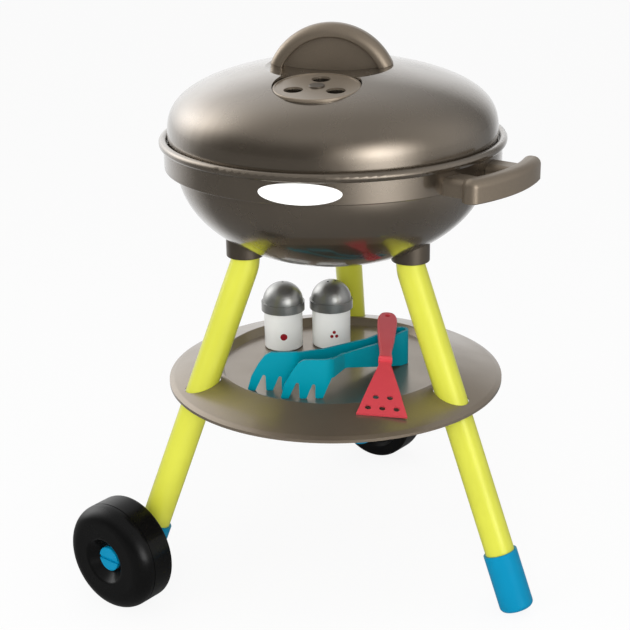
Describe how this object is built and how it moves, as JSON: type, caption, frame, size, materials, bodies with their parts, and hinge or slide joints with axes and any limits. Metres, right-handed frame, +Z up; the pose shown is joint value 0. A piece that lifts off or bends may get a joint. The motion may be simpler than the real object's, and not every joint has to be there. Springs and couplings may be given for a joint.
{
  "type": "toy barbecue grill",
  "caption": "Toy kettle barbecue with a lift-off domed lid and turning vent, a side handle, splayed legs with wheels and a foot cap, a tray, shakers, tongs and a spatula.",
  "frame": {"origin": "on the floor under the bowl's axis", "axes": "+Z up along the bowl's axis; +X towards the plain leg with the foot cap and the bowl's handle; the wheels turn about Y"},
  "size_m": [0.5095, 0.604, 0.6955],
  "materials": {
    "taupe": "glossy metallic taupe",
    "taupe_satin": "satin metallic taupe",
    "lime": "glossy lime green",
    "teal": "glossy teal blue",
    "tyre_black": "glossy black",
    "white": "glossy white",
    "cap_grey": "satin metallic grey",
    "red": "glossy red",
    "steel": "zinc plated",
    "grate_black": "matte black"
  },
  "bodies": {
    "stand": {"bowl": "taupe", "bowl_handle": "taupe", "bowl_handle_screws": "steel", "label_plate": "white", "tray": "taupe", "socket_foot": "taupe_satin", "socket_left": "taupe_satin", "socket_right": "taupe_satin", "leg_foot": "lime", "leg_left": "lime", "leg_right": "lime", "foot_cap": "teal", "socket_screws": "steel", "axle_cap_left": "teal", "axle_cap_right": "teal", "axle_pin_left": "teal", "axle_pin_right": "teal"},
    "lid": {"lid": "taupe", "lid_handle": "taupe", "lid_handle_screws": "steel", "vent_pivot": "taupe_satin"},
    "vent": {"vent_disc": "taupe"},
    "grate": {"cooking_grate": "grate_black"},
    "wheel_left": {"wheel_left": "tyre_black"},
    "wheel_right": {"wheel_right": "tyre_black"},
    "pepper": {"pepper_body": "white", "pepper_cap": "cap_grey"},
    "salt": {"salt_body": "white", "salt_cap": "cap_grey"},
    "tongs": {"tongs_rear_arm": "teal"},
    "tongs_front": {"tongs_front_arm": "teal"},
    "spatula": {"spatula": "red"}
  },
  "joints": [
    {"name": "lid_lift", "type": "slide", "parent": "stand", "child": "lid", "axis": [0, 0, 1], "range_m": [0, 0.25]},
    {"name": "vent_turn", "type": "hinge", "parent": "lid", "child": "vent", "pos_m": [0.04695, -0.08829, 0.6393], "axis": [0.0531, -0.1, 0.9936], "range_deg": [0, 60]},
    {"name": "grate_lift", "type": "slide", "parent": "stand", "child": "grate", "axis": [0, 0, 1], "range_m": [0, 0.018]},
    {"name": "wheel_left_spin", "type": "hinge", "parent": "stand", "child": "wheel_left", "pos_m": [-0.12761, -0.27, 0.0676], "axis": [0, 1, 0], "continuous": true},
    {"name": "wheel_right_spin", "type": "hinge", "parent": "stand", "child": "wheel_right", "pos_m": [-0.12761, 0.27, 0.0676], "axis": [0, 1, 0], "continuous": true},
    {"name": "pepper_lift", "type": "slide", "parent": "stand", "child": "pepper", "axis": [-0.866, 0, 0.5], "range_m": [0, 0.2]},
    {"name": "salt_lift", "type": "slide", "parent": "stand", "child": "salt", "axis": [0.4532, 0.7849, 0.4226], "range_m": [0, 0.2]},
    {"name": "tongs_lift", "type": "slide", "parent": "stand", "child": "tongs", "axis": [0.433, -0.75, 0.5], "range_m": [0, 0.2]},
    {"name": "tongs_squeeze", "type": "hinge", "parent": "tongs", "child": "tongs_front", "pos_m": [0.06493, 0.05379, 0.2835], "axis": [0, 0, -1], "range_deg": [0, 7.5], "stiffness_Nm_per_rad": 0.4},
    {"name": "spatula_lift", "type": "slide", "parent": "tongs", "child": "spatula", "axis": [0.4461, -0.687, 0.5736], "range_m": [0, 0.2]}
  ]
}
